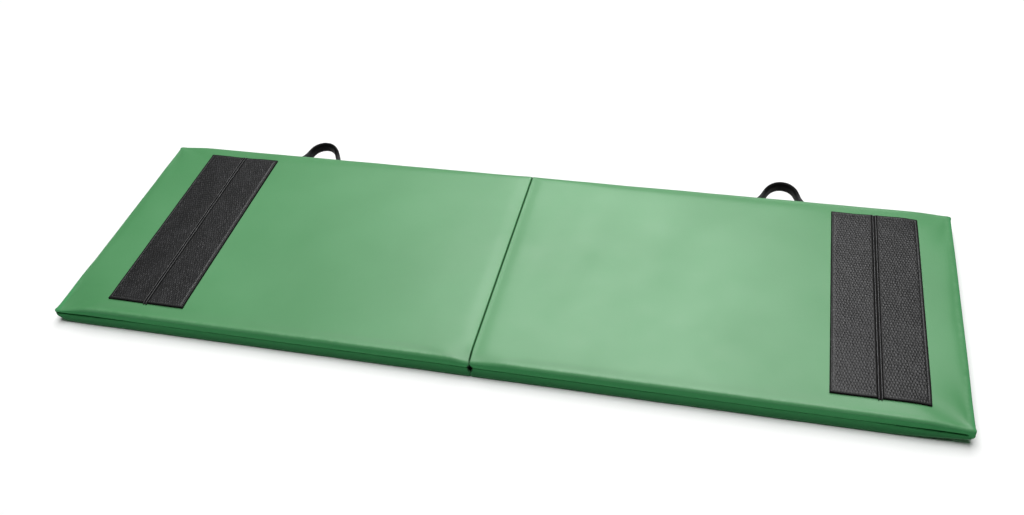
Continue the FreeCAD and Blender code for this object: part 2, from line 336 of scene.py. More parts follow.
def vinyl_material(name="green_vinyl", shades=GREEN, gloss=0.5):
    """Smooth coated vinyl: faint cloth backing showing through, fine grain, worn edges, painted shade in
    creases.
    """
    material, shader, tree = new_material(name)
    where = place(tree)
    cloudy = ramp(tree, noise_node(tree, where, 3.5, 4), 0.35, 0.65)
    colour = mix(tree, cloudy, *shades)
    worn = attribute(tree, "worn")
    scuffed = node(tree, "ShaderNodeMath", operation="MULTIPLY")
    tree.links.new(worn, scuffed.inputs[0])
    tree.links.new(ramp(tree, noise_node(tree, where, 60, 5, 0.7), 0.40, 0.75), scuffed.inputs[1])
    colour = mix(tree, scuffed.outputs[0], colour, GREEN_WORN)
    wall = attribute(tree, "wall")
    colour = mix(tree, wall, colour, GREEN_WALL)
    # painted shade, darker towards the bottom of the walls
    colour = mix(tree, attribute(tree, "low"), colour, GREEN_LOW_SHADE)
    # painted shade in the sunken seam rows, the holes at the fold and the groove
    colour = mix(tree, spread(tree, attribute(tree, "hollow_shade"), 0.0, 0.93), colour, GREEN_HOLLOW_SHADE)
    tree.links.new(colour, shader.inputs["Base Color"])
    smudges = ramp(tree, noise_node(tree, where, 9, 5, 0.6), 0.3, 0.7)
    rough = node(tree, "ShaderNodeMath", operation="ADD")
    tree.links.new(spread(tree, smudges, 0.40, 0.48), rough.inputs[0])
    tree.links.new(spread(tree, wall, 0.0, 0.40), rough.inputs[1])
    tree.links.new(rough.outputs[0], shader.inputs["Roughness"])
    shader.inputs["Specular IOR Level"].default_value = gloss
    grain = noise_node(tree, where, 900, 2)
    ripples = noise_node(tree, place(tree, (0.6, 1, 1)), 22, 3)
    soft = bump(tree, ripples, 0.25, 0.0012)
    tree.links.new(bump(tree, grain, 0.22, 0.0002, soft), shader.inputs["Normal"])
    return material


def grain_material():
    """Black leather-look vinyl with glossy pebbles."""
    material, shader, tree = new_material("black_pebble_grain")
    where = place(tree)
    high = attribute(tree, "pebble")
    colour = mix(tree, high, *PEBBLE_BLACK)
    dust_and_sheen = ramp(tree, noise_node(tree, where, 45, 5, 0.7), 0.45, 0.8)
    colour = mix(tree, spread(tree, dust_and_sheen, 0.0, 0.5), colour, PATCH_DUST)
    # painted shade: the strips' edges and sides go darkest black and fully rough
    rim = attribute(tree, "rim")
    colour = mix(tree, rim, colour, DEEP_BLACK)
    tree.links.new(colour, shader.inputs["Base Color"])
    rough = node(tree, "ShaderNodeMath", operation="MAXIMUM")
    tree.links.new(spread(tree, high, 0.50, 0.26), rough.inputs[0])
    tree.links.new(rim, rough.inputs[1])
    tree.links.new(rough.outputs[0], shader.inputs["Roughness"])
    shader.inputs["Specular IOR Level"].default_value = 0.26
    fine = noise_node(tree, where, 1500, 3)
    cells = node(tree, "ShaderNodeTexVoronoi", feature="DISTANCE_TO_EDGE", Scale=420.0)
    tree.links.new(where, cells.inputs["Vector"])
    wrinkles = ramp(tree, cells.outputs["Distance"], 0.0, 0.25)
    first = bump(tree, wrinkles, 0.15, 0.0003)
    tree.links.new(bump(tree, fine, 0.1, 0.0002, first), shader.inputs["Normal"])
    return material


def piping_material():
    """The same black vinyl stretched smooth over a rolled edge."""
    material, shader, tree = new_material("black_piping")
    where = place(tree)
    colour = mix(tree, ramp(tree, noise_node(tree, where, 60, 4), 0.4, 0.7), *PIPING_BLACK)
    # painted shade: the strip in the welt's gap goes darkest black and fully rough
    deep = attribute(tree, "deep")
    colour = mix(tree, deep, colour, DEEP_BLACK)
    tree.links.new(colour, shader.inputs["Base Color"])
    rough = node(tree, "ShaderNodeMath", operation="MAXIMUM")
    tree.links.new(spread(tree, noise_node(tree, where, 200, 3), 0.24, 0.42), rough.inputs[0])
    tree.links.new(deep, rough.inputs[1])
    tree.links.new(rough.outputs[0], shader.inputs["Roughness"])
    shader.inputs["Specular IOR Level"].default_value = 0.35
    tree.links.new(bump(tree, noise_node(tree, where, 1200, 3), 0.25, 0.0002), shader.inputs["Normal"])
    return material


def webbing_material():
    """Black woven webbing: a herringbone of fine ribs, a slight sheen, and a painted sheen on the tabs and
    lower legs.
    """
    material, shader, tree = new_material("black_webbing")
    across = attribute(tree, "across")
    along = attribute(tree, "along")
    both = node(tree, "ShaderNodeCombineXYZ")
    tree.links.new(across, both.inputs["X"])
    tree.links.new(along, both.inputs["Y"])
    heights = []
    for turn in (45, -45):
        turned = node(tree, "ShaderNodeMapping")
        turned.inputs["Rotation"].default_value = (0, 0, math.radians(turn))
        tree.links.new(both.outputs["Vector"], turned.inputs["Vector"])
        wave = node(tree, "ShaderNodeTexWave", wave_type="BANDS", Scale=140.0, Distortion=0.4)
        tree.links.new(turned.outputs["Vector"], wave.inputs["Vector"])
        heights.append(wave.outputs["Fac"])
    weave = node(tree, "ShaderNodeMath", operation="MULTIPLY")
    tree.links.new(heights[0], weave.inputs[0])
    tree.links.new(heights[1], weave.inputs[1])
    colour = mix(tree, weave.outputs[0], DEEP_BLACK, WEB_BLACK)
    # painted sheen: lighter grey on the tabs and the legs' lower part
    dust_and_sheen = spread(tree, attribute(tree, "foot_sheen"), 0.0, 0.8)
    colour = mix(tree, dust_and_sheen, colour, WEB_SHEEN)
    tree.links.new(colour, shader.inputs["Base Color"])
    shader.inputs["Roughness"].default_value = 0.6
    shader.inputs["Specular IOR Level"].default_value = 0.07
    shader.inputs["Sheen Weight"].default_value = 0.015
    shader.inputs["Sheen Roughness"].default_value = 0.4
    tree.links.new(bump(tree, weave.outputs[0], 0.6, 0.0004), shader.inputs["Normal"])
    return material


def thread_material(name, shades):
    """Twisted sewing thread."""
    material, shader, tree = new_material(name)
    where = place(tree, (1, 1, 1), (0, 0, 35))
    wave = node(tree, "ShaderNodeTexWave", wave_type="BANDS", Scale=900.0, Distortion=1.0)
    tree.links.new(where, wave.inputs["Vector"])
    tree.links.new(mix(tree, wave.outputs["Fac"], *shades), shader.inputs["Base Color"])
    shader.inputs["Roughness"].default_value = 0.55
    tree.links.new(bump(tree, wave.outputs["Fac"], 0.5, 0.0002), shader.inputs["Normal"])
    return material


def foam_material():
    """Closed-cell foam: pale grey, pitted."""
    material, shader, tree = new_material("pale_foam")
    cells = node(tree, "ShaderNodeTexVoronoi", Scale=350.0)
    tree.links.new(place(tree), cells.inputs["Vector"])
    colour = mix(tree, cells.outputs["Distance"], *FOAM_GREY)
    tree.links.new(colour, shader.inputs["Base Color"])
    shader.inputs["Roughness"].default_value = 0.85
    tree.links.new(bump(tree, cells.outputs["Distance"], 0.4, 0.0006), shader.inputs["Normal"])
    return material


# ---------------------------------------------------------------- mesh building

def mesh_piece(name, vertices, faces, material, attributes=None):
    """A smooth-shaded piece from vertices in millimetres."""
    mesh = bpy.data.meshes.new(name)
    mesh.from_pydata((np.asarray(vertices, float) * MM).tolist(), [], faces)
    mesh.polygons.foreach_set("use_smooth", [True] * len(mesh.polygons))
    for key, values in (attributes or {}).items():
        layer = mesh.attributes.new(key, "FLOAT", "POINT")
        layer.data.foreach_set("value", np.asarray(values, np.float32))
    mesh.update()
    piece = bpy.data.objects.new(name, mesh)
    bpy.context.collection.objects.link(piece)
    mesh.materials.append(material)
    return piece


def points_of(piece):
    """The piece's vertices, in millimetres."""
    flat = np.empty(len(piece.data.vertices) * 3, np.float32)
    piece.data.vertices.foreach_get("co", flat)
    return flat.reshape(-1, 3).astype(float) / MM


def set_points(piece, points):
    piece.data.vertices.foreach_set("co", (points * MM).astype(np.float32).ravel())
    piece.data.update()


def set_attribute(piece, name, values):
    layer = piece.data.attributes.get(name) or piece.data.attributes.new(name, "FLOAT", "POINT")
    layer.data.foreach_set("value", np.asarray(values, np.float32))


def subdivide(piece):
    rounder = piece.modifiers.new("rounder", "SUBSURF")
    rounder.levels = rounder.render_levels = 1


def rows(low, high, near_low, near_high, step):
    """Distances from low to high, close together near both ends."""
    start = [low + r for r in near_low]
    end = [high - r for r in near_high][::-1]
    count = max(1, round((end[0] - start[-1]) / step))
    middle = [start[-1] + (end[0] - start[-1]) * i / count for i in range(1, count)]
    return start + middle + end


def box_grid(xs, ys, zs):
    """Vertices and outward faces of a box's surface, divided along the given rows."""
    index = {}
    vertices = []
    last = (len(xs) - 1, len(ys) - 1, len(zs) - 1)

    def vertex(i, j, k):
        if (i, j, k) not in index:
            index[i, j, k] = len(vertices)
            vertices.append((xs[i], ys[j], zs[k]))
        return index[i, j, k]

    faces = []
    for axis in range(3):
        u, v = (axis + 1) % 3, (axis + 2) % 3
        for end in (0, last[axis]):
            for a in range(last[u]):
                for b in range(last[v]):
                    ring = []
                    for da, db in ((0, 0), (1, 0), (1, 1), (0, 1)):
                        key = [0, 0, 0]
                        key[axis], key[u], key[v] = end, a + da, b + db
                        ring.append(vertex(*key))
                    faces.append(ring if end else ring[::-1])
    return np.array(vertices, float), faces


def tube_faces(first, rings, sides, turned=False):
    """Faces of a tube with closed ends, over rings of points that start at first; turned swaps in and out."""
    faces = []
    for i in range(rings - 1):
        for k in range(sides):
            a = first + i * sides + k
            b = first + i * sides + (k + 1) % sides
            faces.append((a, a + sides, b + sides, b) if turned else (a, b, b + sides, a + sides))
    near = tuple(range(first, first + sides))
    far = tuple(i + (rings - 1) * sides for i in near)
    return faces + ([near, far[::-1]] if turned else [near[::-1], far])


def round_corner(first, second):
    """Turns the square corner beyond (0, 0) into a quarter circle."""
    inside = (first > 0) & (second > 0)
    length = np.hypot(first, second)
    largest = np.maximum(first, second)
    scale = np.where(inside, largest / np.maximum(length, 1e-9), 1.0)
    return first * scale, second * scale


# ---------------------------------------------------------------- panels

def panel_rows():
    xs = rows(0.0, LENGTH, INNER_ROWS, END_ROWS, PANEL_STEP)
    ys = rows(-HALF_WIDTH, HALF_WIDTH, SIDE_ROWS, SIDE_ROWS, PANEL_STEP)
    low = list(WALL_ROWS) + [MID - SHOULDER_ROW, MID - LIP_ROW, MID - INSIDE_ROW]
    return xs, ys, low + [THICK - z for z in low[::-1]]


def slit_share(s, sign):
    """How far the closing seam gapes: 0 where it is sewn, 1 at its open end."""
    end = LENGTH - HOLE_IN[sign]
    share = np.clip((s - end) / SLIT_LENGTH[sign] + 1, 0, 1)
    return share ** 1.3 * (s <= end + HOLE_R)


def seam_half(s, sign):
    """Half the height of the seam's opening."""
    end = LENGTH - HOLE_IN[sign]
    hole = np.sqrt(np.maximum(0.0, HOLE_R ** 2 - (s - end) ** 2))
    sewn = np.where(s > end, 0.0, SEAM_HALF + (SLIT_HALF - SEAM_HALF) * slit_share(s, sign))
    return np.maximum(sewn, hole)


def thin_out(s, y, z, sign):
    """Heights once the stuffing has thinned towards the outer corners and the groove's front corner."""
    sink = np.where(y < 0, CORNER_DROP[sign], BACK_DROP)
    lift, lift_span, lift_power = CORNER_LIFT[sign]
    in_end, in_wall = LENGTH - s, HALF_WIDTH - np.abs(y)
    near = smooth(1 - np.hypot(np.maximum(in_end, 0) / CORNER_SPAN[0], in_wall / CORNER_SPAN[1])) ** 2
    z = z - sink * near * np.clip((z - MID) / MID, 0, 1)
    near = np.clip(1 - in_end / lift_span, 0, 1) * np.clip(1 - in_wall / lift_span, 0, 1)
    z = z + lift * near ** lift_power * np.clip((MID - z) / MID, 0, 1)
    drop, along, back = GROOVE_CORNER[sign]
    corner = smooth(1 - s / along) * smooth((-y - (HALF_WIDTH - back)) / back)
    return z - drop * corner * np.clip((z - MID) / MID, 0, 1)


def soften_edges(s, y, z, sign):
    """Rounds a panel's square edges: the long walls, both ends, then the upright corners."""
    side = np.sign(y)
    upper = np.sign(z - MID)
    edge_r = np.where(upper > 0, EDGE_R, LOW_R)
    depth, height = round_corner(np.abs(y) - (HALF_WIDTH - edge_r), np.abs(z - MID) - (MID - edge_r))
    y = side * (depth + HALF_WIDTH - edge_r)
    level = height + MID - edge_r
    depth, height = round_corner(s - (LENGTH - END_R), level - (MID - END_R))
    s = depth + LENGTH - END_R
    level = height + MID - END_R
    inner_r = np.where(upper > 0, GROOVE_R[sign], LOW_INNER_R)
    depth, height = round_corner(inner_r - s, level - (MID - inner_r))
    s = inner_r - depth
    level = height + MID - inner_r
    depth, wide = round_corner(s - (LENGTH - CORNER_R), np.abs(y) - (HALF_WIDTH - CORNER_R))
    s = depth + LENGTH - CORNER_R
    y = side * (wide + HALF_WIDTH - CORNER_R)
    depth, wide = round_corner(INNER_CORNER_R - s, np.abs(y) - (HALF_WIDTH - INNER_CORNER_R))
    s = INNER_CORNER_R - depth
    y = side * (wide + HALF_WIDTH - INNER_CORNER_R)
    return s, y, MID + upper * level


def draw_in_walls(s, y, z, wall, sign):
    """Draws the walls in at the seam, which leaves a bulge above and below it."""
    seam_end = LENGTH - HOLE_IN[sign] + HOLE_R
    fade = 1 - smooth((s - seam_end) / CREASE_FADE)
    drawn = CREASE * np.clip(1 - np.abs(z - MID) / CREASE_SPAN, 0, 1) ** 1.7
    near_wall = np.clip((np.abs(y) - (HALF_WIDTH - 3 * EDGE_R)) / (3 * EDGE_R), 0, 1)
    return y - np.sign(y) * drawn * fade * near_wall * (0.25 + 0.75 * wall)


def open_seam(s, y, z, upper, inside_row, lip_row, shoulder_row, sign):
    """Parts the rows of points along the seam and sinks the innermost one."""
    side = np.sign(y)
    half = seam_half(s, sign)
    open_fade = (s < LENGTH - HOLE_IN[sign] + HOLE_R).astype(float)
    by_corner = 1 - 0.8 * smooth((s - LENGTH + 8) / 8)
    deep = (1.3 + SLIT_DEPTH * slit_share(s, sign)) * open_fade * by_corner
    z = np.where(inside_row, MID + upper * np.minimum(half * 0.8 + 0.05, 1.4), z)
    z = np.where(lip_row, MID + upper * (half + LIP_ROW * 0.35), z)
    z = np.where(shoulder_row, MID + upper * (half + SHOULDER_ROW), z)
    y = np.where(inside_row, y - side * deep, y)
    y = np.where(lip_row, y - side * 0.5 * open_fade, y)
    return y, z


def shape_inner_end(s, y, z, sign):
    """The inner end: nearly upright, opening into the groove, with a round hole by each wall."""
    gap = JOINT_GAP + (GROOVE_GAP - JOINT_GAP) * np.clip((z - MID) / (MID - GROOVE_R[sign]), 0, 1)
    wide, tall = JOINT_HOLE_HALF
    hole = wide * np.sqrt(np.maximum(0.0, 1 - ((z - MID) / tall) ** 2))
    by_wall = 1 - smooth((HALF_WIDTH - np.abs(y) - JOINT_HOLE_DEPTH * 0.6) / (JOINT_HOLE_DEPTH * 0.5))
    start = np.maximum(gap, hole * by_wall)
    reach = INNER_ROWS[6]
    return np.where(s < reach, start + s * (1 - start / reach), s)


def fill_outer_end(s, y, z, sign):
    """The outer end, filled out, with its corners sticking out a little further."""
    by_end = smooth((s - (LENGTH - END_FADE)) / END_FADE)
    by_corner = np.clip(1 - (HALF_WIDTH - np.abs(y)) / EAR_SPAN[sign], 0, 1)
    ear = EAR[sign] * np.where(y < 0, 1.0, BACK_EAR)
    return s + by_end * (END_OUT[sign] + by_corner * ear) * (0.15 + 0.85 * smooth((z - 2) / 14))


def shape_panel(points, sign):
    """Turns a box grid into one soft panel. Returns the shaped points and where the seam rows are."""
    s, y, z = points.T.copy()
    wall = np.abs(y) > HALF_WIDTH - 0.01
    under = z < 0.01
    level = np.abs(z - MID)
    upper = np.sign(z - MID)
    inside_row = wall & (level < LIP_ROW - 0.01)
    lip_row = wall & (np.abs(level - LIP_ROW) < 0.01)
    shoulder_row = wall & (np.abs(level - SHOULDER_ROW) < 0.01)

    s, y, z = soften_edges(s, y, z, sign)
    y = draw_in_walls(s, y, z, wall, sign)
    y, z = open_seam(s, y, z, upper, inside_row, lip_row, shoulder_row, sign)
    s = shape_inner_end(s, y, z, sign)
    s = fill_outer_end(s, y, z, sign)
    z = thin_out(s, y, z, sign)

    # room for the hinge strip under the inner end
    strip = 1 - smooth((s - HINGE_REACH) / 4)
    flat = smooth((HALF_WIDTH - EDGE_R + 2 - np.abs(y)) / 2)
    z = z + np.where(under, (HINGE_THICK + 0.05) * strip * flat, 0)

    seam = inside_row | lip_row | shoulder_row
    return np.stack([s, y, z], 1), seam, inside_row


def pad_out(piece, hold):
    """Blows the cover out against its stuffing by cloth simulation; returns how far each point moved."""
    rest = points_of(piece)
    pins = piece.vertex_groups.new(name="hold")
    for weight in (1.0, 0.0):
        chosen = np.nonzero(hold == weight)[0].tolist()
        pins.add(chosen, weight, "REPLACE")
    cloth = piece.modifiers.new("padding", "CLOTH")
    cloth.settings.vertex_group_mass = "hold"
    cloth.settings.use_pressure = True
    cloth.settings.uniform_pressure_force = PAD_PRESSURE
    cloth.settings.effector_weights.gravity = 0
    cloth.settings.tension_stiffness = 30
    cloth.settings.compression_stiffness = 30
    cloth.settings.bending_stiffness = 2
    cloth.settings.quality = 4
    cloth.collision_settings.use_collision = False
    scene = bpy.context.scene
    for step in range(1, PAD_FRAMES + 1):
        scene.frame_set(step)
    graph = bpy.context.evaluated_depsgraph_get()
    result = piece.evaluated_get(graph)
    flat = np.empty(len(result.data.vertices) * 3, np.float32)
    result.data.vertices.foreach_get("co", flat)
    moved = flat.reshape(-1, 3).astype(float) / MM - rest
    piece.modifiers.remove(cloth)
    piece.vertex_groups.remove(pins)
    scene.frame_set(1)
    length = np.linalg.norm(moved, axis=1)
    return moved * (PAD_MOST * np.tanh(length / PAD_MOST) / np.maximum(length, 1e-9))[:, None]


def waves(points, scale, seed):
    """Smooth random values, about -1 to 1, over points in millimetres."""
    offset = Vector((seed * 17.3, seed * 5.1, seed * 9.7))
    return np.array([noise.noise(Vector(p) / scale + offset) for p in points])


def slacken(points, s, y, z, inside_row, seed):
    """Slack in the vinyl: broad swells on top, closer puckers along the walls. s, y and z are unpadded."""
    top_share = smooth((z - (THICK - 10)) / 8) * smooth(s / 60)
    swells = SWELL[0] * waves(points * (1, 1, 0), SWELL[1], seed)
    ripples = RIPPLE[0] * waves(points * (1, 1, 0), RIPPLE[1], seed + 1)
    points[:, 2] += top_share * (swells + ripples)
    wall_share = smooth((np.abs(y) - (HALF_WIDTH - 15)) / 10) * smooth((LENGTH - s) / 30) * (1 - inside_row)
    puckers = PUCKER[0] * waves(points * (1, 0, 0.6), PUCKER[1], seed + 2)
    points[:, 1] += np.sign(y) * wall_share * (puckers - 0.35)


def give_flaps(piece, grid, faces, flap_vinyl):
    """Puts the flaps' duller vinyl on the walls and the outer end."""
    piece.data.materials.append(flap_vinyl)
    for face, ring in zip(piece.data.polygons, faces):
        corners = grid[ring]
        on_wall = np.abs(corners[:, 1]).min() > HALF_WIDTH - 0.01 or corners[:, 0].min() > LENGTH - 0.01
        face.material_index = int(on_wall and np.abs(corners[:, 2] - MID).max() < MID - EDGE_R + 1.6)


def mark_vinyl(piece, grid, s, y, z, inside_row, sign):
    """Writes what the vinyl's material reads: the walls, painted shade on their lower half, worn edges, and
    painted shade in hollows.
    """
    out_wall = np.clip((np.abs(y) - (HALF_WIDTH - 6)) / 6, 0, 1)
    out_end = np.clip((s - (LENGTH - 6)) / 6, 0, 1)
    on_side = (np.abs(grid[:, 1]) > HALF_WIDTH - 0.01) | (grid[:, 0] > LENGTH - 0.01)
    below_edge = np.abs(grid[:, 2] - MID) < MID - EDGE_R
    set_attribute(piece, "wall", np.where(on_side & below_edge, 1.0, np.maximum(out_wall, out_end) ** 2))
    # painted shade, darker towards the bottom of the walls
    set_attribute(piece, "low", on_side * smooth((MID + 4 - grid[:, 2]) / 22))
    rim = smooth(1 - np.abs(np.abs(y) - (HALF_WIDTH - 4)) / 7) + smooth(1 - np.abs(s - (LENGTH - 6)) / 8)
    set_attribute(piece, "worn", 0.5 * np.clip(rim, 0, 1) * smooth((z - (THICK - 14)) / 8))
    wide, tall = JOINT_HOLE_HALF
    by_hole = np.clip(1.3 - np.hypot(s / wide, (z - MID) / tall) / 1.2, 0, 1)
    by_hole = by_hole * smooth((np.abs(y) - HALF_WIDTH + 2 * JOINT_HOLE_DEPTH) / JOINT_HOLE_DEPTH) * (s < 6)
    groove = smooth((3.2 - s) / 2.2) * smooth((THICK - 0.6 - z) / 2) * smooth((z - THICK + 11) / 4)
    # painted shade: the seam's sunken row, the holes at the fold and the top of the groove
    hollow_shade = inside_row * (0.2 + 0.8 * slit_share(s, sign)) + 3 * by_hole + 0.9 * groove
    set_attribute(piece, "hollow_shade", np.clip(hollow_shade, 0, 1))


def make_panel(side, sign, vinyl, flap_vinyl):
    """One panel's whole cover: top, ends, underside and side flaps."""
    grid, faces = box_grid(*panel_rows())
    points, seam, inside_row = shape_panel(grid, sign)
    piece = mesh_piece(side + "_cover", points, faces, vinyl)
    s, y, z = points.T
    hold = ((z < 2.0) | seam | (s < 3)).astype(float)
    moved = pad_out(piece, hold)
    share = smooth((s - 3) / 30) * smooth(z / 6)
    share = share * np.where(np.abs(y) > HALF_WIDTH - EDGE_R, 0.45, 1.0) * (1 - seam)
    points = points + moved * share[:, None]
    slacken(points, s, y, z, inside_row, 3 if sign > 0 else 8)
    points[:, 0] *= sign
    set_points(piece, points)
    if sign < 0:
        piece.data.flip_normals()
    give_flaps(piece, grid, faces, flap_vinyl)
    mark_vinyl(piece, grid, s, y, z, inside_row, sign)
    subdivide(piece)
    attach(piece, side + "_panel")
    flaps = [f"{side}_{end}_{part}_flap" for end in ("front", "back") for part in ("upper", "lower")]
    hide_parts(side + "_cover_sheet", side + "_inner_end_band", *flaps)
    return piece


def make_foam(side, sign, foam):
    """Two foam layers inside a cover, a little clear of it."""
    clear = 6.0
    for part, low, high in (("upper", MID + 3, THICK - 6), ("lower", 5, MID - 3)):
        xs = rows(clear, LENGTH - 3 * clear, FOAM_ROWS, FOAM_ROWS, FOAM_STEP)
        ys = rows(-HALF_WIDTH + 3 * clear, HALF_WIDTH - 3 * clear, FOAM_ROWS, FOAM_ROWS, FOAM_STEP)
        zs = [low, low + 2, low + 5, high - 5, high - 2, high]
        grid, faces = box_grid(xs, ys, zs)
        grid[:, 2] += 0.6 * waves(grid, 60, 5) * smooth((high - grid[:, 2]) / 4)
        grid[:, 2] = thin_out(*grid.T, sign)
        grid[:, 0] *= sign
        piece = mesh_piece(f"{side}_{part}_foam_layer", grid, faces, foam)
        if sign < 0:
            piece.data.flip_normals()
        subdivide(piece)
        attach(piece, side + "_panel")
        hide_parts(f"{side}_{part}_foam")


def surface_of(piece):
    """A search tree over the piece as it is shown, in millimetres."""
    graph = bpy.context.evaluated_depsgraph_get()
    shown = piece.evaluated_get(graph)
    vertices = [v.co / MM for v in shown.data.vertices]
    return BVHTree.FromPolygons(vertices, [tuple(p.vertices) for p in shown.data.polygons])


def heights_on(surface, x, y):
    """The surface's height at each x and y."""
    found = []
    for a, b in zip(x, y):
        hit = surface.ray_cast(Vector((a, b, 200.0)), Vector((0, 0, -1)))[0]
        found.append(hit.z if hit else THICK)
    return np.array(found)


# ---------------------------------------------------------------- stitches

def thread_loop(vertices, faces, start, end, up, radius, lift):
    """One stitch: a short thread that rises from start, lies along the surface and dips in at end."""
    rings, sides = 5, 6
    start, end, up = (np.asarray(v, float) for v in (start, end, up))
    run = end - start
    across = np.cross(up, run)
    across /= np.linalg.norm(across)
    first = len(vertices)
    for i in range(rings):
        t = i / (rings - 1)
        middle = start + run * t + up * (lift * math.sin(math.pi * t) ** 0.6 - radius * 0.9)
        thick = radius * (0.75 + 0.25 * math.sin(math.pi * t))
        for k in range(sides):
            angle = 2 * math.pi * k / sides
            vertices.append(middle + across * thick * math.cos(angle) + up * thick * math.sin(angle))
    faces.extend(tube_faces(first, rings, sides))


def stitch_line(vertices, faces, start, end, up, level, chooser):
    """Even stitches from start to end; level gives each point's height along up."""
    start, end = np.asarray(start, float), np.asarray(end, float)
    run = end - start
    length = np.linalg.norm(run)
    count = max(1, round(length / (STITCH_LONG + STITCH_GAP)))
    pitch = run / count
    share = STITCH_LONG / (STITCH_LONG + STITCH_GAP)
    for i in range(count):
        jitter = chooser.uniform(-0.12, 0.12)
        a = start + pitch * (i + (1 - share) / 2)
        b = a + pitch * share
        side = np.cross(up, run / length) * jitter
        thread_loop(vertices, faces, level(a - side), level(b + side), up, THREAD_R, THREAD_R * 1.5)


def finish_stitches(name, vertices, faces, material, body, node_name):
    piece = mesh_piece(name, vertices, faces, material)
    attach(piece, body)
    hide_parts(node_name)


# ---------------------------------------------------------------- grip patches

def pebbles(x, y, seed):
    """Height, 0 to 1, of uneven rounded pebbles at each point, every other row set over by half."""
    generator = np.random.default_rng(seed)
    size = 512
    jitter = generator.uniform(0.3, 0.7, (size, size, 2))
    tall = generator.uniform(0.6, 1.0, (size, size))
    u, v = x / PEBBLE_SIZE[0], y / PEBBLE_SIZE[1]
    cell_u, cell_v = np.floor(u).astype(int), np.floor(v).astype(int)
    nearest = np.full(len(x), 9.0)
    second = np.full(len(x), 9.0)
    height = np.zeros(len(x))
    for du in (-1, 0, 1):
        for dv in (-1, 0, 1):
            a, b = cell_u + du, cell_v + dv
            spot = jitter[a % size, b % size]
            distance = np.hypot(a + spot[:, 0] + 0.5 * (b % 2) - u, b + spot[:, 1] - v)
            closer = distance < nearest
            second = np.where(closer, nearest, np.minimum(second, distance))
            height = np.where(closer, tall[a % size, b % size], height)
            nearest = np.where(closer, distance, nearest)
    dome = np.sqrt(np.maximum(0.0, 1 - (nearest / 0.8) ** 2))
    return height * dome * smooth((second - nearest) / 0.4)


def make_strip(name, edge, seam_edge, surface, grain, side, node_name):
    """One strip of a grip patch, laid on the cover: pebbled, with a stitched channel round three edges."""
    low, high = sorted((edge, seam_edge))
    xs = rows(low, high, STRIP_ROWS, STRIP_ROWS, PEBBLE_STEP)
    ys = rows(-PATCH_HALF, PATCH_HALF, STRIP_ROWS, STRIP_ROWS, PEBBLE_STEP)
    zs = [0.0, STRIP_THICK * 0.45, STRIP_THICK]
    grid, faces = box_grid(xs, ys, zs)
    x, y, z = grid.T.copy()
    from_ends = PATCH_HALF - np.abs(y)
    from_seam = np.abs(x - seam_edge)
    from_outer = (high - low) - from_seam
    from_edge = np.minimum(np.minimum(from_ends, from_outer), from_seam)
    top = z > STRIP_THICK - 0.01
    stitched = np.minimum(from_ends, from_outer)
    channel = np.exp(-((stitched - STITCH_IN) / CHANNEL[1]) ** 2)
    grain_height = pebbles(x, y, 11 + len(name)) * smooth((from_edge - 2.5) / 2.0)
    base = heights_on(surface, x, y)
    curl = CURL[0] * smooth(1 - from_ends / CURL[1]) ** 2 * (0.7 + 0.6 * waves(grid * (1, 0, 0), 30, 4))
    swell = 0.5 * waves(grid * (1, 1, 0), 55, 6)
    by_seam = np.exp(-((from_seam - 2.0) / 1.2) ** 2)
    rounding = EDGE_ROLL * (1 - smooth(from_edge / 3.0)) - EDGE_ROLL * by_seam
    lift = PEBBLE_HEIGHT * grain_height * (1 - 0.7 * channel) - CHANNEL[0] * channel - rounding + swell
    z = base - 0.05 + z + curl + np.where(top, lift, 0.4 * swell * (z > 0.01))
    # where the painted shade lies: the strip's sides and a band round its top edge
    rim = 1 - smooth((from_edge - 1.5) / 2.0) * top
    piece = mesh_piece(name, np.stack([x, y, z], 1), faces, grain,
                       {"pebble": np.where(top, grain_height, 0.0), "rim": rim})
    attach(piece, side + "_panel")
    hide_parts(node_name)
    return piece


def make_welt(name, sign, x, surface, piping):
    """A patch's raised double seam, on the side called name: two rolled edges over a dark gap."""
    vertices, faces = [], []
    reach = PATCH_HALF + 3.5
    steps = 220
    sides = 12
    for roll, offset in enumerate((-RIDGE_OFFSET, RIDGE_OFFSET)):
        first = len(vertices)
        ys = np.linspace(-reach, reach, steps)
        bases = heights_on(surface, np.full(steps, x + offset), ys)
        for i, (y, base) in enumerate(zip(ys, bases)):
            over = smooth((abs(y) - (PATCH_HALF - 2)) / 4)
            end = min(1.0, (reach - abs(y)) / 2.2)
            radius = (RIDGE_R + 0.5 * over) * math.sqrt(max(0.05, end * (2 - end)))
            wander = 0.25 * noise.noise(Vector((roll * 9.0, y / 22, sign * 3.0)))
            uneven = 0.3 * noise.noise(Vector((y / 16, roll * 5, 1.0)))
            high = base + STRIP_THICK + 0.1 - 2.0 * over + uneven
            for k in range(sides):
                angle = 2 * math.pi * k / sides
                tall = 1.25 if math.sin(angle) > 0 else 1.9
                vertices.append((x + offset + wander + radius * math.cos(angle), y,
                                 high + radius * tall * math.sin(angle)))
        faces.extend(tube_faces(first, steps, sides, turned=True))
    first = len(vertices)
    for y in np.linspace(2 - reach, reach - 2, steps):
        base = heights_on(surface, [x], [y])[0] + 0.4 * STRIP_THICK
        for across in (-WELT_HALF, WELT_HALF):
            vertices.append((x + across, y, base))
    for i in range(steps - 1):
        a = first + 2 * i
        faces.append((a, a + 1, a + 3, a + 2))
    # the strip in the gap between the ridges is painted as shade
    deep = np.arange(len(vertices)) >= first
    piece = mesh_piece(name + "_patch_seam", vertices, faces, piping, {"deep": deep})
    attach(piece, name + "_panel")
    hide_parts(name + "_patch_welt")


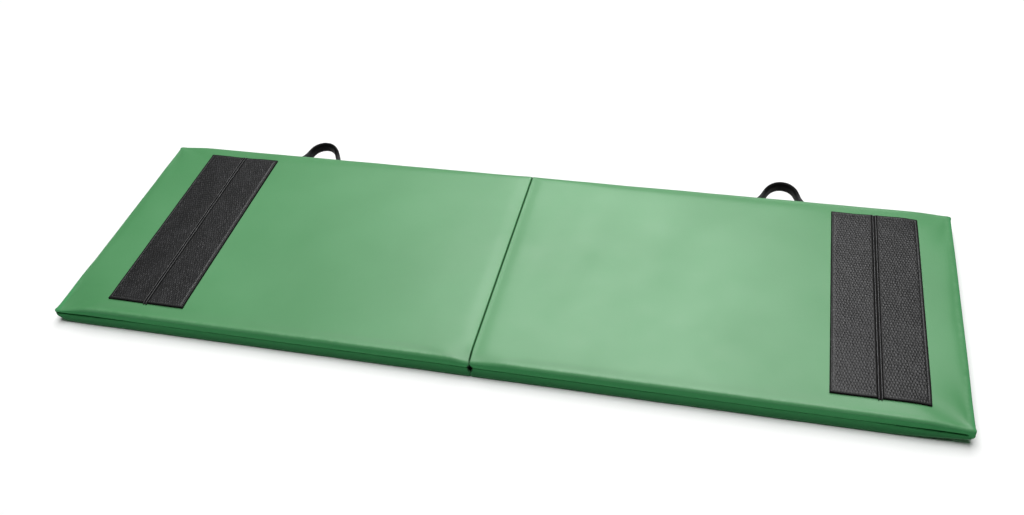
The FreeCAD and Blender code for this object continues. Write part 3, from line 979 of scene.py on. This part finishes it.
def make_patch(side, sign, cover, grain, piping, thread):
    surface = surface_of(cover)
    near, far = PATCH_IN[side], PATCH_IN[side] + PATCH_WIDTH
    middle = sign * (near + far) / 2
    strips = {
        "inner": (sign * near, middle - sign * WELT_HALF),
        "outer": (sign * far, middle + sign * WELT_HALF),
    }
    vertices, faces = [], []
    chooser = random.Random(5)
    for part, (edge, seam_edge) in strips.items():
        strip = make_strip(f"{side}_patch_{part}_piece", edge, seam_edge, surface, grain,
                           side, f"{side}_patch_{part}_strip")
        on_strip = surface_of(strip)

        def level(point):
            return np.array([point[0], point[1], heights_on(on_strip, [point[0]], [point[1]])[0]])

        inward = 1 if seam_edge > edge else -1
        x0 = edge + inward * STITCH_IN
        x1 = seam_edge - inward * 1.5
        y1 = PATCH_HALF - STITCH_IN
        for a, b in (((x0, -y1, 0), (x0, y1, 0)), ((x0, -y1, 0), (x1, -y1, 0)), ((x0, y1, 0), (x1, y1, 0))):
            stitch_line(vertices, faces, a, b, (0, 0, 1), level, chooser)
    finish_stitches(side + "_patch_stitches", vertices, faces, thread, side + "_panel",
                    side + "_patch_stitching")
    make_welt(side, sign, middle, surface, piping)


# ---------------------------------------------------------------- carry loops

def loop_path(lean):
    """The outer face of the webbing in plan, smoothed: flat on the wall, out round the loop and back."""
    path = [(-x, y) for x, y in LOOP_OUTLINE] + [(x, y) for x, y in LOOP_OUTLINE[::-1][1:]]
    points = np.array([(x + lean * smooth(y / LOOP_REACH), y) for x, y in path], float)
    fine = []
    for i in range(len(points) - 1):
        before = points[max(i - 1, 0)]
        after = points[min(i + 2, len(points) - 1)]
        a, b = points[i], points[i + 1]
        for t in np.linspace(0, 1, 5, endpoint=False):
            fine.append(0.5 * (2 * a + (b - before) * t + (2 * before - 5 * a + 4 * b - after) * t * t
                               + (3 * a - before - 3 * b + after) * t ** 3))
    fine.append(points[-1])
    return np.array(fine)


def make_loop(side, sign, webbing):
    """A carry loop: webbing sewn flat to the wall at both ends, folded round a soft core between them."""
    middle = HANDLE_X[side] * sign
    path = loop_path(LOOP_LEAN[side])
    directions = np.gradient(path, axis=0)
    directions /= np.linalg.norm(directions, axis=1)[:, None]
    distance = np.concatenate([[0], np.cumsum(np.linalg.norm(np.diff(path, axis=0), axis=1))])
    across_rows = np.sin(np.linspace(-math.pi / 2, math.pi / 2, 15))
    vertices, across, along, foot_sheen = [], [], [], []
    ring = 2 * len(across_rows) - 2
    for (x, y), (dx, dy), run in zip(path, directions, distance):
        padded = smooth((y - 3) / 10)
        thick = WEB_THICK + (GRIP_THICK - WEB_THICK) * padded
        power = 14 - 10.5 * padded
        sag = -1.2 * smooth(y / LOOP_REACH)
        for face, ts in ((1, across_rows), (-1, across_rows[::-1][1:-1])):
            for t in ts:
                round_off = math.sqrt(max(0.0, 1 - abs(t) ** power))
                rib = 0.12 * math.cos(t * math.pi * 5) * round_off
                depth = -thick / 2 + face * (thick / 2 * round_off + rib)
                vertices.append((middle + x - dy * depth, HALF_WIDTH + y + dx * depth,
                                 MID + sag + t * WEB_WIDTH / 2))
                across.append((t + 1) * WEB_WIDTH / 2 * MM)
                along.append(run * MM)
                # where the painted sheen lies: near the wall, fading out along the legs
                foot_sheen.append(1 - smooth((y - 14) / 30))
    faces = tube_faces(0, len(path), ring)
    piece = mesh_piece(side + "_handle_strap", vertices, faces, webbing,
                       {"across": across, "along": along, "foot_sheen": foot_sheen})
    piece.visible_shadow = False
    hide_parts(side + "_handle_loop", side + "_handle_inner_tab", side + "_handle_outer_tab")
    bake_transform(piece)


def make_loop_stitches(side, sign, thread):
    """A box with a cross in it, sewn through each end of a carry loop."""
    middle = HANDLE_X[side] * sign
    surface_y = HALF_WIDTH + 2.1
    vertices, faces = [], []
    chooser = random.Random(9)
    for end in (-1, 1):
        centre = middle + end * (TAB_START + TAB_LENGTH / 2 + 2)
        wide, tall = TAB_LENGTH / 2 - 4.5, WEB_WIDTH / 2 - 4
        corners = [(-wide, -tall), (wide, -tall), (wide, tall), (-wide, tall)]
        box = list(zip(corners, corners[1:] + corners[:1]))
        cross = [(corners[0], corners[2]), (corners[1], corners[3])]
        for (ax, az), (bx, bz) in box + cross:
            start = (centre + ax, surface_y, MID + az)
            end_at = (centre + bx, surface_y, MID + bz)
            stitch_line(vertices, faces, start, end_at, (0, 1, 0), lambda point: point, chooser)
    finish_stitches(side + "_handle_stitches", vertices, faces, thread, side + "_panel",
                    side + "_handle_stitching")


# ---------------------------------------------------------------- seams and hinge

def make_seam_stitches(side, sign, thread):
    """Slanting stitches down in the two closing seams."""
    vertices, faces = [], []
    chooser = random.Random(7)
    end = LENGTH - HOLE_IN[sign] - SLIT_LENGTH[sign]
    first, pitch = SEAM_STITCH
    depth = HALF_WIDTH - CREASE - 0.9
    for wall in (-1, 1):
        x = first
        while x < end:
            tilt = chooser.uniform(1.2, 1.6)
            a = (sign * x, wall * depth, MID - 0.7)
            b = (sign * (x + tilt), wall * depth, MID + 0.7)
            thread_loop(vertices, faces, a, b, (0, wall, 0), SEAM_THREAD_R, SEAM_THREAD_R)
            x += pitch
    finish_stitches(side + "_seam_stitches", vertices, faces, thread, side + "_panel",
                    side + "_seam_thread")


def make_hinge(vinyl, thread):
    """The hinge strip under the fold, one piece of coated fabric let in flush, and its stitch rows."""
    half_width = HALF_WIDTH - EDGE_R
    xs = rows(-HINGE_REACH, HINGE_REACH, (0, 1, 3), (0, 1, 3), 1.0)
    ys = rows(-half_width, half_width, (0, 1, 3, 6), (0, 1, 3, 6), 10)
    grid, faces = box_grid(xs, ys, [0.05, 0.5, 0.95])
    middle = np.exp(-(grid[:, 0] / 3.0) ** 2)
    grid[:, 2] += 0.25 * middle + 0.04 * waves(grid * (1, 1, 0), 20, 2)
    piece = mesh_piece("hinge_strip", grid, faces, vinyl)
    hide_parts("left_hinge_strip", "right_hinge_strip")
    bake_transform(piece)
    for side, sign in SIDES.items():
        vertices, faces = [], []
        chooser = random.Random(3)
        for row in HINGE_ROWS:
            start = (sign * row, 4 - half_width, 0.15)
            end = (sign * row, half_width - 4, 0.15)
            stitch_line(vertices, faces, start, end, (0, 0, -1), lambda point: point, chooser)
        vertices = [(x, y, max(z, -0.05)) for x, y, z in vertices]
        finish_stitches(side + "_hinge_stitches", vertices, faces, thread, side + "_panel",
                        side + "_hinge_stitching")


def main():
    make_camera()
    make_lights()
    make_floor()
    vinyl = vinyl_material()
    flap_vinyl = vinyl_material("green_flap_vinyl", gloss=0.12)
    hinge_fabric = vinyl_material("green_hinge_fabric", GREEN_HINGE)
    foam = foam_material()
    grain = grain_material()
    piping = piping_material()
    webbing = webbing_material()
    green_thread = thread_material("green_thread", GREEN_THREAD)
    black_thread = thread_material("black_thread", THREAD_BLACK)
    for side, sign in SIDES.items():
        cover = make_panel(side, sign, vinyl, flap_vinyl)
        make_foam(side, sign, foam)
        make_seam_stitches(side, sign, green_thread)
        make_patch(side, sign, cover, grain, piping, black_thread)
        make_loop(side, sign, webbing)
        make_loop_stitches(side, sign, black_thread)
    make_hinge(hinge_fabric, green_thread)


main()
